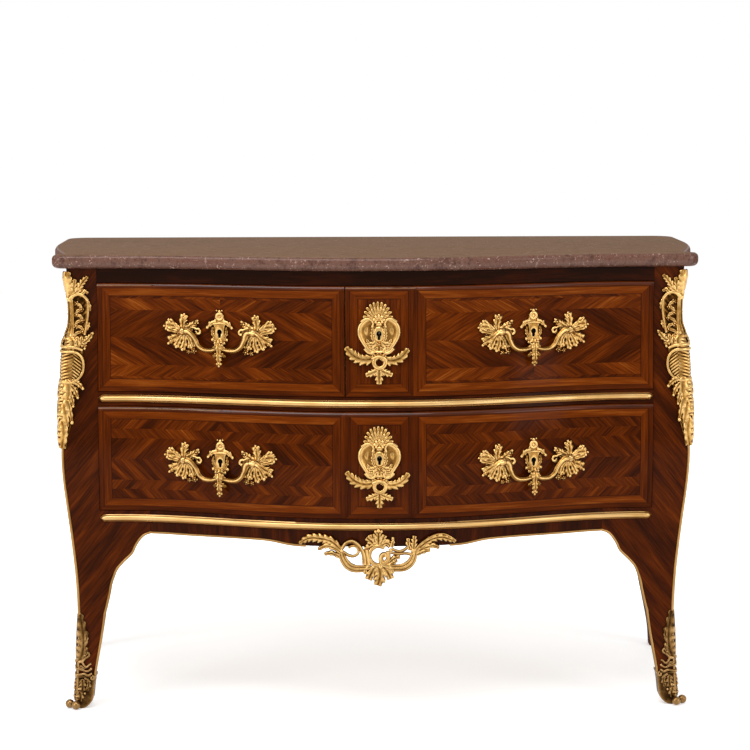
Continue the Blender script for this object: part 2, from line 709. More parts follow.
def saw(bm, place, normal):
    bmesh.ops.bisect_plane(bm, geom=bm.verts[:] + bm.edges[:] + bm.faces[:], dist=0.001, plane_co=place,
                           plane_no=normal)


def slice_up(bm, normal, low, high, step):
    """Cuts a solid into even slices, so that it can be bent."""
    count = round((high - low) / step)
    for i in range(1, count):
        saw(bm, Vector(normal) * mix(low, high, i / count), normal)


columns = {"left": (-front_half, partition_x), "centre": (partition_x, panel_x), "right": (panel_x, front_half)}
rows = {"upper": upper_row, "lower": lower_row}
# Of each panel: the slope of its leaves, half its middle rows, its strips, its lot and its lightness
panels = {f"{row}_{column}": parquetry(f"kingwood_{row}_{column}", columns[column], rows[row], *look,
                                       plain=column == "centre")
          for row, column, *look in (
              ("upper", "left", 31, 52, 22, 21.0, 0.03), ("upper", "centre", 45, 60, 20, 22.0, 0.02),
              ("upper", "right", 31, 52, 22, 23.0, 0.05), ("lower", "left", 46, 40, 18, 24.0, 0.01),
              ("lower", "centre", 45, 60, 20, 25.0, -0.01), ("lower", "right", 46, 40, 18, 26.0, 0.02))}
fronts = {
    "upper_left": (-front_half, partition_x - drawer_gap, upper_row, ["upper_left"]),
    "upper_right": (partition_x + drawer_gap, front_half, upper_row, ["upper_centre", "upper_right"]),
    "lower": (-front_half, front_half, lower_row, ["lower_left", "lower_centre", "lower_right"]),
}
for name, (left, right, row, faces) in fronts.items():
    bm = bmesh.new()
    box(bm, (1, 1, 1), (0.5, 0.5, 0.5))
    bmesh.ops.scale(bm, vec=(right - left, front_thickness, row[1] - row[0]), verts=bm.verts)
    bmesh.ops.translate(bm, vec=(left, -drawer_proud, row[0]), verts=bm.verts)
    for at_crown, width in ((True, crown_rounding), (False, edge_rounding)):
        rims = [e for e in bm.edges if all(v.co.y < -drawer_proud + 0.01 for v in e.verts)
                and (min(v.co.z for v in e.verts) > row[1] - 0.01) == at_crown]
        round_off(bm, rims, width, 5)
    slice_up(bm, (1, 0, 0), left, right, 9)
    slice_up(bm, (0, 0, 1), *row, 17)
    seams = [seam for seam in (partition_x, panel_x) if left + 5 < seam < right - 5]
    for seam in seams:
        saw(bm, (seam, 0, 0), (1, 0, 0))
    for face in bm.faces:
        face.material_index = sum(face.calc_center_median().x > seam for seam in seams)
    for vert in bm.verts:
        vert.co.y += front_y(vert.co.x, vert.co.z)
    piece = set_piece(f"{name}_drawer_veneered", bm, f"{name}_drawer", [panels[k] for k in faces],
                      [f"{name}_drawer_front"], 30)
    x, z = keyholes[name]
    pocket_half = lock_height / 2 + lock_play
    let_in = [(lock_width + 2 * lock_play, -lock_play, -pocket_half, pocket_half),
              (bolt_width + 4 * lock_play, -lock_play, 0, row[1] - z + bolt_room)]
    cut_away(piece, lock_cutter(x, z, row[1], let_in))
    cut_away(piece, keyhole_cutter(x, z))

# Drawer boxes, boards and back
# Plain oak and deal, planed and left unpolished: the sides, backs and bottoms of the drawers, the
# boards that carry them, the partition and the panelled back.


def plain_wood(axis, lot):
    """Unpolished wood with the grain running along one axis."""
    finish = Finish(f"plain_wood_{axis.lower()}", Specular_IOR_Level=0.25)
    x, y, z = finish.axes(finish.point())
    across, length = (y + z * 0.9, x) if axis == "X" else (x * 0.9 + z, y)
    broad, fine, pores = grain(finish, across, length, lot, 64.0)
    colour = finish.ramp(broad * 0.6 + fine * 0.45, [
        (0.22, (92, 62, 34)), (0.45, (140, 101, 60)), (0.62, (172, 132, 84)), (0.85, (196, 160, 110)),
    ])
    return finish.wear(colour, pores.between(0.3, 0.7, 0.78, 0.62), pores * 0.5 + fine, 0.0004, 0.4)


deal_along = {"X": plain_wood("X", 31.0), "Y": plain_wood("Y", 32.0)}
for drawer in ("upper_left_drawer", "upper_right_drawer", "lower_drawer"):
    for part, run in (("left_side", "Y"), ("right_side", "Y"), ("back", "X"), ("bottom", "X")):
        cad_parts[f"{drawer}_{part}"].data.materials[0] = deal_along[run]
    front = bpy.data.objects[f"{drawer}_veneered"]
    front.data.materials.append(deal_along["X"])
    for face in front.data.polygons:
        if face.normal.y > 0.7:
            face.material_index = len(front.data.materials) - 1
for board, run in (("dust_board", "X"), ("bottom_board", "X"), ("top_partition", "Y"), ("back_panel", "X")):
    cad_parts[board].data.materials[0] = deal_along[run]

# Locks
# Forged iron cases screwed into the backs of the drawer fronts, each with a bolt that rises behind
# the rail above it.
iron = Finish("lock_iron", Metallic=1.0)
rubbed = iron.noise(iron.point(), 120.0, 5.0, 0.6)
iron_colour = iron.blend(rubbed.between(0.35, 0.7), tint(70, 66, 62), tint(132, 126, 118))
iron.wear(iron_colour, rubbed.between(0.3, 0.7, 0.6, 0.38), rubbed, 0.0003, 0.4)
for lock in ("upper_left_lock", "upper_right_lock", "lower_lock"):
    for part in ("case", "bolt"):
        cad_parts[f"{lock}_{part}"].data.materials[0] = iron.material

# Brass bands
# Two half-round mouldings of drawn brass with a quirk along each edge, let into the middle rail and
# the apron and rounded off at their ends.
band_height, band_proud, band_seat = 14, 8, 0.3
band_end = 7
band_section = [
    (-1, 0), (-1, 0.3), (-0.86, 0.42), (-0.8, 0.36), (-0.72, 0.52), (-0.45, 0.84), (-0.15, 0.98), (0.15, 0.98),
    (0.45, 0.84), (0.72, 0.52), (0.8, 0.36), (0.86, 0.42), (1, 0.3), (1, 0),
]


def gilding(name, pale, middle, deep, chased=True):
    """Gilt bronze: burnished pale on the high parts, darker and matt in the hollows. The attribute
    `relief` runs from the hollows, 0, to the crests, 1."""
    finish = Finish(name, Metallic=1.0)
    spot = finish.point()
    cloud = finish.noise(spot, 60.0, 4.0, 0.6)
    matting = finish.noise(spot, 700.0, 2.0, 0.6)
    if chased:
        relief = finish.add("Attribute", {"attribute_name": "relief"}, None, "Fac")
        high = relief + (cloud - 0.5) * 0.55 + (matting - 0.5) * 0.30
    else:
        high = finish.noise(spot, 14.0, 3.0, 0.5) * 0.4 + matting * 0.1 + 0.36
    darkest = [part * 0.40 for part in deep]
    colour = finish.ramp(high, [(0.14, darkest), (0.34, deep), (0.56, middle), (0.88, pale)])
    rough = high.between(0.2, 0.8, 0.48, 0.24)
    return finish.wear(colour, rough, matting * 0.5 + cloud * 0.4, 0.00025 if chased else 0.00006, 0.35)


def brass_band(centre):
    """A moulding along the bowed front, at one height, that runs out at both ends."""
    sections = 140

    def place(i, k):
        share = k / (sections - 1)
        x = mix(-rail_half, rail_half, share)
        end = min(1, 0.12 + 1.2 * math.sqrt(min(1, min(share, 1 - share) * 2 * rail_half / band_end)))
        up, out = band_section[i]
        z = centre + band_height / 2 * up * end
        return x, front_y(x, z) - band_seat - (band_proud - band_seat) * out * end, z

    return roll_up(len(band_section), sections, place)


band_brass = gilding("drawn_brass", (230, 196, 142), (188, 148, 90), (104, 70, 32), chased=False)
for row, centre in (("middle", 606.98), ("lower", 375.46)):
    set_piece(f"{row}_brass_band", brass_band(centre), "case", band_brass, [f"{row}_band"], 50)

# Brass fillets
# Thin drawn strips nailed along the outer edges of the legs, the inner edges of the feet and knees,
# and the lower edge of the apron, to keep the veneer from chipping.
arris_width, edge_width, fillet_height = 5.5, 4.6, 2.2
arris_let_in, edge_let_in = 0.6, 0.8
arris_foot, arris_head, edge_foot, edge_end = 8, 512, 30, 136
fillet_section = [(-0.5, -0.2), (-0.5, 0.55), (-0.28, 1), (0.28, 1), (0.5, 0.55), (0.5, -0.2)]


def fillet(line, outward, width):
    """A strip with rounded shoulders along a line; `outward` points away from the wood."""
    out = Vector(outward).normalized()

    def place(i, k):
        tangent = Vector(line[min(len(line) - 1, k + 1)]) - Vector(line[max(0, k - 1)])
        side = tangent.normalized().cross(out).normalized()
        across, up = fillet_section[i]
        return Vector(line[k]) + side * across * width + out * up * fillet_height

    return roll_up(len(fillet_section), len(line), place)


def front_edge(x, z):
    return x, front_y(x, z) + edge_let_in, z


def side_edge(y, z):
    return side_x(y, z) - edge_let_in, y, z


arris_line = [(corner_half + swell(z) - arris_let_in, -swell(z) + arris_let_in, z)
              for z in spread(arris_foot, arris_head, 90) + [arris_head]]
edge_heights = spread(edge_foot, knee_edge, 90) + [knee_edge]
front_line = [front_edge(min(corner_half + swell(z) - leg_width(z), corner_half - knee_at(z)), z)
              for z in edge_heights]
front_line += [front_edge(x, apron_bottom(x)) for x in
               spread(corner_half - knee_reach, edge_end, 60)[1:] + [edge_end]]
side_line = [side_edge(max(knee_at(z), leg_width(z) - swell(z)), z) for z in edge_heights]
side_line += [side_edge(y, knee_edge) for y in spread(knee_reach, case_depth - knee_reach, 20)[1:]]
side_line += [side_edge(case_depth - max(knee_at(z), leg_width(z)), z) for z in reversed(edge_heights)]
fillet_brass = gilding("dulled_brass", (194, 154, 98), (148, 110, 60), (84, 54, 24), chased=False)
for side in ("right", "left"):
    for edge, line, outward, width in (("arris", arris_line, (1, -1, 0), arris_width),
                                       ("front", front_line, (-0.5, -1, -0.5), edge_width),
                                       ("side", side_line, (1, 0, -0.5), edge_width)):
        set_piece(f"{side}_{edge}_fillet", fillet(line, outward, width), "case", fillet_brass,
                  (), 50, side == "left")

# Handles
# Each is a pair of cast leaf rosettes with a short post, a reeded bail that swings on pins in the
# posts and carries a leaf and a pendant in its middle, and an escutcheon round a keyhole.
gilt_bronze = gilding("gilt_bronze", (206, 168, 106), (152, 111, 54), (84, 49, 15))
soot = Finish("blackened_iron", Specular_IOR_Level=0.05)
scale_marks = soot.noise(soot.point(), 300.0, 4.0, 0.6)
soot.wear(soot.blend(scale_marks.between(0.4, 0.7), tint(5, 4, 4), tint(14, 11, 8)),
          scale_marks.between(0.3, 0.7, 0.85, 0.7), scale_marks, 0.0002, 0.4)
handle_x, handle_half = 296, 37
rosette_reach, pivot_forward, bail_lean = 70, 14, 4.6
mount_seat = 0.4
forward = Vector((0, -1, 0))


def smooth_line(knots, count):
    """A smooth line through the knots, cut into equal steps between each two."""
    knots = [Vector(knot) for knot in knots]
    line = []
    for i in range(count + 1):
        t = i / count * (len(knots) - 1)
        k = min(int(t), len(knots) - 2)
        t -= k
        a, b, c, d = (knots[min(len(knots) - 1, max(0, k + j))] for j in (-1, 0, 1, 2))
        line.append((2 * b + (c - a) * t + (2 * a - 5 * b + 4 * c - d) * t**2
                     + (3 * b - a - 3 * c + d) * t**3) / 2)
    return line


def heading(spine, k):
    """The direction of a line at one of its points, and the way across it in the plane of a plate."""
    tangent = (spine[min(len(spine) - 1, k + 1)] - spine[max(0, k - 1)]).normalized()
    return tangent, tangent.cross(forward).normalized()


def leaf(knots, width, lobes, rise, cut=0.5, thick=1.3, spread=1.0):
    """An acanthus leaf along a line, with a groove down its middle and lobes that lean towards the
    tip. A `spread` above 1 moves its widest place towards the tip."""
    rows = 4 * lobes + 2
    spine = smooth_line(knots, rows)

    def place(a, b):
        t, k = 2 * a - 1, round(b * rows)
        tangent, side = heading(spine, k)
        notch = abs(math.sin(math.pi * lobes * k / rows)) ** 0.5
        body = math.sin(math.pi * min(1, 0.12 + 0.88 * (k / rows) ** spread)) ** 0.55
        half = width * body * (1 - cut * (1 - notch) * abs(t))
        hump = (1 - 0.34 * (2 * abs(t) - 1) ** 2) * (1 - abs(t) ** 3)
        hump -= 0.30 * math.cos(2 * math.pi * lobes * k / rows) * abs(t)
        return spine[k] + side * half * t + tangent * 0.5 * half * t * t * notch + forward * rise * body * hump

    return thicken(sheet(6, rows, place), -forward * thick)


def scroll(knots, start, end, steps=6, sides=8, reeds=0, shape=lambda share: share):
    """A round or reeded bar along a line, from one thickness to another as `shape` says."""
    count = steps * (len(knots) - 1)
    spine = smooth_line(knots, count)

    def place(i, k):
        tangent, side = heading(spine, k)
        turned = 2 * math.pi * i / sides
        reach = mix(start, end, shape(k / count)) * (1 + (0.16 * math.cos(reeds * turned) if reeds else 0))
        return spine[k] + (side * math.cos(turned) + side.cross(tangent) * math.sin(turned)) * reach

    return roll_up(sides, count + 1, place)


def curl(x, z, radius, start, turns, height, inner=0.3):
    """Knots of a spiral that winds inward in the plane of the plate."""
    steps = max(3, round(abs(turns) * 8))
    knots = []
    for i in range(steps + 1):
        angle = math.radians(start + 360 * turns * i / steps)
        reach = radius * mix(1, inner, i / steps)
        knots.append((x + reach * math.cos(angle), -height, z + reach * math.sin(angle)))
    return knots


def ball(place, radius, rounds, levels):
    bm = bmesh.new()
    bmesh.ops.create_uvsphere(bm, u_segments=rounds, v_segments=levels, radius=radius)
    bmesh.ops.translate(bm, vec=place, verts=bm.verts)
    return bm


def flower(x, height, z, radius):
    """An open flower with five dished petals round a button."""
    levels = [(1.0, -0.2), (1.0, 0.25), (0.62, 0.52), (0.34, 0.28), (0.28, 0.62), (0.06, 0.78)]

    def place(i, k):
        angle = math.pi * i / 10
        share, rise = levels[k]
        reach = radius * share * (0.66 + 0.34 * abs(math.cos(5 * angle / 2)) if share > 0.5 else 1)
        return x + reach * math.cos(angle), -height - rise * radius, z + reach * math.sin(angle)

    return roll_up(20, len(levels), place)


def mound(x, z, half_x, half_z, low, high, ripples=9):
    """A low swelling ground with a rippled rim, under a spray of leaves."""
    levels = [(1, 0), (1, 0.4), (0.85, 0.7), (0.55, 0.9), (0.25, 1), (0.04, 1)]

    def place(i, k):
        angle = math.pi * i / 18
        share, rise = levels[k]
        ripple = 0.5 + 0.5 * math.cos(ripples * angle)
        reach = share * (1 - 0.12 * ripple * share)
        height = mix(low, high, 1 - share * share) * rise - 0.8 * ripple * share * (k > 0)
        return x + half_x * reach * math.cos(angle), -height, z + half_z * reach * math.sin(angle)

    return roll_up(36, len(levels), place)


def shell(x, height, z, radius, start, ribs, rise, inner, stretch=1.0):
    """A scallop shell: ribs that fan out from its foot to a scalloped edge."""
    def place(a, b):
        angle = math.radians(mix(start, 180 - start, a))
        ridge = abs(math.sin(math.pi * ribs * a)) ** 0.6
        reach = radius * mix(inner, 1, b) * (1 - 0.14 * (1 - ridge) * b)
        lift = height + rise * (math.sin(math.pi * min(1, 0.15 + 0.8 * b)) + 0.45 * ridge * b)
        return x + reach * math.cos(angle), -lift, z + reach * math.sin(angle) * stretch

    return thicken(sheet(4 * ribs, 6, place), -forward * 1.6)


def raised(knots, heights, side=1):
    """Puts the knots of a flat line at their heights; a single height does for all of them."""
    heights = heights if isinstance(heights, tuple) else [heights] * len(knots)
    return [(side * x, -height, z) for (x, z), height in zip(knots, heights)]


class Casting:
    """A casting put together from elements. `lay` puts the points of a flat element where they
    belong on the chest; without it an element stands in its place already."""

    def __init__(self, lay=None):
        self.bm, self.lay = bmesh.new(), lay
        self.bm.verts.layers.float.new("height")

    def add(self, part, base=0):
        """Adds an element, and marks how high each of its points stands off the wood."""
        height = part.verts.layers.float.new("height")
        for vert in part.verts:
            vert[height] = base - vert.co.y if self.lay else base
            if self.lay:
                vert.co = self.lay(vert.co)
        data = bpy.data.meshes.new("element")
        part.to_mesh(data)
        part.free()
        self.bm.from_mesh(data)
        bpy.data.meshes.remove(data)

    def leaves(self, table, heights, rise, *shape, side=1):
        """Leaves, each given by its knots, its width and the number of its lobes."""
        for *knots, width, lobes in table:
            self.add(leaf(raised(knots, heights, side), width, lobes, rise, *shape))

    def scrolls(self, table, heights, *build, side=1):
        """Scrolls, each given by its knots and its thickness at either end."""
        for *knots, start, end in table:
            self.add(scroll(raised(knots, heights, side), start, end, *build))

    def beads(self, table, height, side=1):
        for x, z, radius in table:
            self.add(ball((side * x, -height, z), radius, 8, 6))

    def chased(self):
        """Marks how far each point stands out among its neighbours and off the wood, for the gilding."""
        bm = self.bm
        bmesh.ops.recalc_face_normals(bm, faces=bm.faces)
        bm.normal_update()
        mark, height = bm.verts.layers.float.new("relief"), bm.verts.layers.float["height"]
        for vert in bm.verts:
            around = [edge.other_vert(vert).co for edge in vert.link_edges]
            middle = sum(around, Vector()) / len(around)
            reach = sum((point - vert.co).length for point in around) / len(around)
            out = (vert.co - middle).dot(vert.normal) / max(reach, 0.001)
            vert[mark] = clamp(0.16 + 0.46 * clamp((vert[height] - 1.5) / 7) + 1.3 * out)
        return bm


def keyhole_edge(x, z):
    """The point of the keyhole's edge that looks towards a point of the plate."""
    distance = math.hypot(x, z)
    reach = 4.2
    if z < 0:
        reach = max(reach, min(slot_half * distance / max(abs(x), 0.01), slot_foot * distance / z))
    return Vector((x * reach / distance, 0, z * reach / distance))


def plate(knots, boss, levels, count):
    """A cast plate pierced by a keyhole. The share of a level runs from 0 at the keyhole to 1 at the
    edge of the oval boss round it, and on to 2 at the outline."""
    outline = smooth_line([(x, 0, z) for x, z in knots + [(-x, z) for x, z in knots[-2::-1]]], count)[:-1]
    levels = [(2, 0)] + levels + [(0, 0), (2, 0)]

    def place(i, k):
        share, height = levels[k]
        far = outline[i]
        reach = math.hypot(far.x / boss[0], far.z / boss[1])
        edge = Vector((far.x / reach, 0, far.z / reach - boss[2]))
        spot = keyhole_edge(far.x, far.z).lerp(edge, share) if share < 1 else edge.lerp(far, share - 1)
        return spot + forward * height

    return roll_up(count, len(levels), place)


def on_front(x, z, flip=1):
    """Lays a flat element on the bowed face of a drawer round one place."""
    def lay(p):
        there_x, there_z = x + flip * p.x, z + p.z
        return Vector((there_x, front_y(there_x, there_z) - drawer_proud - mount_seat + p.y, there_z))

    return lay


def front_frame(x, z):
    """The upright frame of a handle on the bowed front, with its middle on the drawer's face."""
    slope_x = (front_y(x + rosette_reach, z) - front_y(x - rosette_reach, z)) / 2 / rosette_reach
    slope_z = (front_y(x, z + handle_half) - front_y(x, z - handle_half)) / 2 / handle_half
    inward = Vector((-slope_x, 1, -slope_z)).normalized()
    across = Vector((1, slope_x, 0)).normalized()
    turned = Matrix((across, inward, across.cross(inward))).transposed().to_4x4()
    return Matrix.Translation((x, front_y(x, z) - drawer_proud, z)) @ turned


escutcheon_edge = [
    (0, -20), (7, -20), (13, -19), (15.5, -15), (12.5, -10), (9.6, -4), (9.2, 4), (10.2, 10), (11.5, 15),
    (10.5, 19), (9.5, 25), (7, 31), (3, 34), (0, 35),
]
escutcheon_levels = [(2, 2.2), (1.93, 3.6), (1.7, 4.5), (1.4, 4.2), (1, 4.4), (0.5, 4.9), (0.12, 4.6)]
escutcheon_beads = [
    (23.5, 7.5, 3.2), (19, 17, 2.6), (13.8, -15, 3.6), (9, -21.5, 3), (5, 40, 1.8), (8, 22, 2.6),
]
bail_knots = [
    (63.5, 0, 0), (58.5, 0, -0.8), (53, 0, -6), (47.5, 0, -16.4), (42, 0, -27), (32, 0, -34), (18, 0, -35),
    (7, 0, -33),
]
post_levels = [(-2.5, 12), (2, 11.5), (5, 9.4), (8, 7.8), (12, 6.9), (15.5, 6.3), (18, 4.6), (19.2, 1.8)]
# Flat elements are written as (across, up). Each leaf ends with its width and the number of its lobes,
# each scroll with its thickness at either end, and each bead or flower with its radius.
rosette_leaves = [
    ((0, 5), (0, 17), (3, 31), 9.25, 3), ((-6, 5), (-18, 10), (-34, 12), 8.25, 3),
    ((-8, 6), (-17, 14), (-27, 21), 5.75, 2), ((-8, -1), (-20, 1), (-31, 5), 5.75, 2),
    ((-5, -5), (-15, -12), (-28, -18), 9.25, 3), ((-2, -8), (-8, -18), (-14, -30), 7.5, 3),
    ((3, -8), (3, -22), (-2, -35), 7.5, 3), ((7, -8), (14, -20), (13, -33), 6.5, 3),
    ((8, -4), (17, -14), (21, -30), 7, 3), ((5, 5), (14, 10), (23, 15), 7.25, 3),
]
rosette_flowers = [(24, 15.5, 7), (20.5, -37, 6.2), (-23, -19, 6.2), (2, 25, 6), (-31, 12, 5), (10, -39, 4.6)]
rosette_berries = [
    (-1.5, -35, 3.4), (-27, 21, 3), (-32, 4, 3), (-13, -30, 3.6), (3, 32, 2.6), (15, -27, 3.6), (-28, -24, 2.8),
    (-36, 9, 2.4), (28, 20, 2.6),
]


def rosette(flip, x, z, matrix):
    """The leaves and flowers round the post that holds one end of a bail."""
    cast = Casting(on_front(x, z, flip))
    cast.add(mound(-1, -3, 21, 20, 2.4, 6.2))
    cast.leaves(rosette_leaves, (6.5, 4.6, 4.6), 3.4, 0.36, 1.6, 2.0)
    for flower_x, flower_z, radius in rosette_flowers:
        cast.add(flower(flower_x, 4.2, flower_z, radius))
    cast.beads(rosette_berries, 5.4)
    cast.add(scroll([(12, -4.5, 4), (19, -5, 7)] + curl(28, -1, 6.4, 120, -0.95, 5), 2.4, 3.2))
    cast.lay = lambda p: matrix @ p
    horn = ((12, 5.5, -10), (9, 9.5, -5), (4, 13, -1), (-1, 14, 0), (-5.4, 14, 0))
    cast.add(scroll([(-flip * (rosette_reach + out), -height, up) for out, height, up in horn], 3.6, 6.0, 4, 16, 4))

    def bud(i, k):
        height, radius = post_levels[k]
        angle = 2 * math.pi * i / 18
        radius *= 1 + (0.14 * math.cos(6 * angle) if height < 11 else 0)
        return -flip * rosette_reach + radius * math.cos(angle), -height, radius * math.sin(angle)

    cast.add(roll_up(18, len(post_levels), bud))
    return cast.chased()


def escutcheon(x, z, blind):
    """The plate round a keyhole; a blind one, with no lock behind it, is backed with black iron."""
    cast = Casting(on_front(x, z))
    cast.add(plate(escutcheon_edge, (7.6, 13, 3), escutcheon_levels, 60), 4.2)
    if blind:
        backing = mound(0, -2.5, 6, 10, 0.3, 0.5, 1)
        for face in backing.faces:
            face.material_index = 1
        cast.add(backing)
    cast.add(scroll([(-12, -5, 15), (0, -6.2, 16.4), (12, -5, 15)], 2.3, 2.3))
    cast.add(scroll(curl(0, 29, 5.8, 90, 1, 5, 1.0), 3.0, 3.0, 3))
    cast.leaves([((0, -13), (0, -22), (0, -34), 8.4, 4)], (4.6, 6, 4), 2.4, 0.4, 3.0)
    for side in (-1, 1):
        cast.scrolls([((7, 20), (15, 18), (22, 9), 3.2, 2.2)], (5, 5.4, 4), side=side)
        cast.leaves([((8, 18), (17, 14), (25, 6), 4.6, 3)], (4.4, 5, 3.4), 2.2, side=side)
        cast.leaves([((9, -11), (13.5, -3), (12.5, 9), 3.6, 4)], (3.6, 4.2, 3), 1.8, side=side)
        cast.beads(escutcheon_beads, 4.2, side)
    cast.beads([(0, 38.6, 3.4)], 4.6)
    return cast.chased()


def bail(matrix, lean):
    """The swinging grip; `lean` carries its lower part sideways, so that it hangs below the keyhole."""
    cast = Casting(lambda p: matrix @ (p + forward * pivot_forward + Vector((lean * clamp(-p.z / 14), 0, 0))))
    knots = [(-x, y, z) for x, y, z in bail_knots] + bail_knots[::-1]
    cast.add(scroll(knots, 3.4, 6.6, 5, 18, 4, lambda share: abs(2 * share - 1) ** 1.8), 4)
    for side in (-1, 1):
        cast.leaves([((3, -41), (8, -43), (12.5, -48), 3.6, 2)], (2.6, 3, 1), 1.6, side=side)
        cast.leaves([((2, -24), (7, -27), (11, -33), 4.4, 2)], (3, 4.6, 2.5), 2.0, side=side)
    cast.leaves([((0, -20), (0, -29), (0, -38), 7.4, 3)], (4, 6, 4), 2.4, 0.4, 4.0)
    cast.leaves([((0, -35), (0, -46), (0, -62), 6.4, 4)], (3, 5, 2.6), 2.2, 0.4, 3.0)
    cast.beads([(0, -29, 3.4)], 4.4)
    cast.beads([(0, -58, 3.6), (-3.6, -60, 2.8), (3.6, -60, 2.8), (0, -64, 2.6)], 1.6)
    return cast.chased()


for row, z in (("upper", 737.0), ("lower", 494.0)):
    for side, x in (("left", -handle_x), ("right", handle_x)):
        drawer = f"{row}_{side}_drawer" if row == "upper" else "lower_drawer"
        handle = f"{row}_{side}_handle"
        matrix = front_frame(x, z)
        set_piece(f"{handle}_plate", escutcheon(x, z, handle != "upper_left_handle"), drawer,
                  [gilt_bronze, soot.material], [f"{handle}_escutcheon"])
        for flip, end in ((1, "left"), (-1, "right")):
            set_piece(f"{handle}_{end}_leaves", rosette(flip, x - flip * rosette_reach, z, matrix), drawer,
                      gilt_bronze, [f"{handle}_{end}_rosette"])
        set_piece(f"{handle}_grip", bail(matrix, math.copysign(bail_lean, -x)), f"{row}_{side}_bail",
                  gilt_bronze, [f"{handle}_bail"])

# Cartouches
# Two large keyhole plates in the middle of the front: a kidney-shaped shield edged with a thick
# scroll, a scallop shell on top, a leaf to each side, and below them a ring and a trefoil.
shield_edge = [
    (0, -37), (10, -37), (19, -35), (26, -28), (33, -18), (38.5, -8), (41, 3), (39.5, 14), (34, 22.5), (25, 28),
    (16, 30), (8, 28), (0, 27),
]
shield_levels = [
    (2, 3), (1.97, 6.6), (1.9, 8.6), (1.8, 8), (1.7, 5.8), (1.5, 4.2), (1.3, 4.2), (1.1, 5.6), (1, 7.4),
    (0.6, 8.2), (0.15, 8),
]
shield_side_leaves = [
    ((9, -15), (12.5, -2), (10, 15), 4.4, 6), ((4, -15), (13, -20), (23, -16), 6, 4),
    ((3, -22), (12, -28), (20, -27), 5.4, 4), ((23, -10), (19, -16), (11, -17), 4, 3),
    ((3, -68), (12, -72), (25, -77), 7.6, 4), ((12, -38), (8, -44), (4, -50), 6, 3),
]
shield_side_scrolls = [
    ((27, -27), (20, -34), (12, -36), (8, -31), (12, -27), 3.4, 2.2),
    ((33, 22), (24, 27.5), (15, 26), (11, 20), (13, 12), 3, 2),
]
shield_leaves = [
    ((-4, -44), (-27, -48), (-47, -41), (-62, -25), 11.5, 7),
    ((4, -44), (22, -50), (41, -44), (55, -28), 10.5, 6), ((0, -66), (0, -78), (0, -94), 9, 4),
    ((0, -18), (0, -27), (0, -40), 9, 4),
]


def cartouche(x, z):
    """A keyhole shield with its shells, scrolls, leaves, ring and trefoil."""
    cast = Casting(on_front(x, z))
    cast.add(plate(shield_edge, (8.6, 13.5, 1), shield_levels, 84), 3.4)
    cast.add(shell(-2, 3.5, 27, 28, 0, 11, 2.8, 0.4, 1.18))
    cast.add(shell(-2, 6.0, 26, 21, 10, 9, 2.6, 0.3, 1.2))
    cast.add(shell(0, 8.0, 25, 12.5, -10, 5, 3.6, 0.1))
    cast.add(mound(0, 19, 11, 9, 5, 9.5, 4))
    for side in (-1, 1):
        cast.add(mound(side * 24.5, 5, 8.5, 15, 3.6, 5.6, 3), 2.0)
        cast.scrolls(shield_side_scrolls, 7.6, side=side)
        cast.leaves(shield_side_leaves, 6.4, 3.0, side=side)
        cast.beads([(6, 22, 3.0)], 9.4, side)
    cast.leaves(shield_leaves, 5.2, 3.4, 0.42)
    cast.add(scroll(curl(1, -53, 10.6, 90, 1, 6.4, 1.0), 4.4, 4.4, 4, 12))
    cast.add(scroll([(-13, -8, -46), (-4, -11, -42), (7, -11, -43), (14, -8, -49)], 2.6, 2.6))
    cast.add(flower(0, 8.0, -20, 5.5))
    return cast.chased()


for row, lock in (("upper", "upper_right"), ("lower", "lower")):
    set_piece(f"{row}_cartouche_cast", cartouche(*keyholes[lock]), f"{lock}_drawer", gilt_bronze,
              [f"{row}_cartouche"])

# Apron mount
# Pierced scrollwork cast in one piece and pinned under the middle of the apron, bent to its bow: an
# open ring with a leafy curl, a crest, S-scrolls that end in fringed leaves, and a pendant leaf.
mount_arms = [
    ((-69, 326), (-63.5, 311.7), (-54, 300.6), (-40, 295.8), (-20, 297)),
    ((68.5, 327), (65.3, 313), (57.2, 303), (44.3, 297.3), (20, 297)),
]
mount_scrolls = [
    ((-67, 335), (-59, 346), (-48, 349), (-38, 343), (-30.5, 333), (-26, 321.5), (-24.5, 304), 3.2, 4.2),
    ((-64.5, 328), (-55, 322), (-44.5, 320.6), (-37, 327), (-39.5, 336.5), (-48, 339), (-55, 335), 3.2, 2),
    ((-26, 335), (-17.7, 337), (-9, 342), 3.4, 3.4), ((-22, 333), (-20.5, 320), (-17, 303), 4.4, 4.4),
    ((22, 301), (10, 304), (5, 313), (7, 322), (13, 324), (14, 318), 5.6, 3.6),
    ((26, 334), (37, 329.5), (48, 331), (60, 340), 2.6, 3),
    ((24, 327), (38, 324), (52, 325), (62, 323), 2.6, 2.8), ((24, 338), (27, 346), (29, 351), 3.2, 2.4),
    ((66, 322), (74, 335), (87, 347), (104, 357), (122, 360), (136, 354), (147, 346), 3.4, 1.8),
]
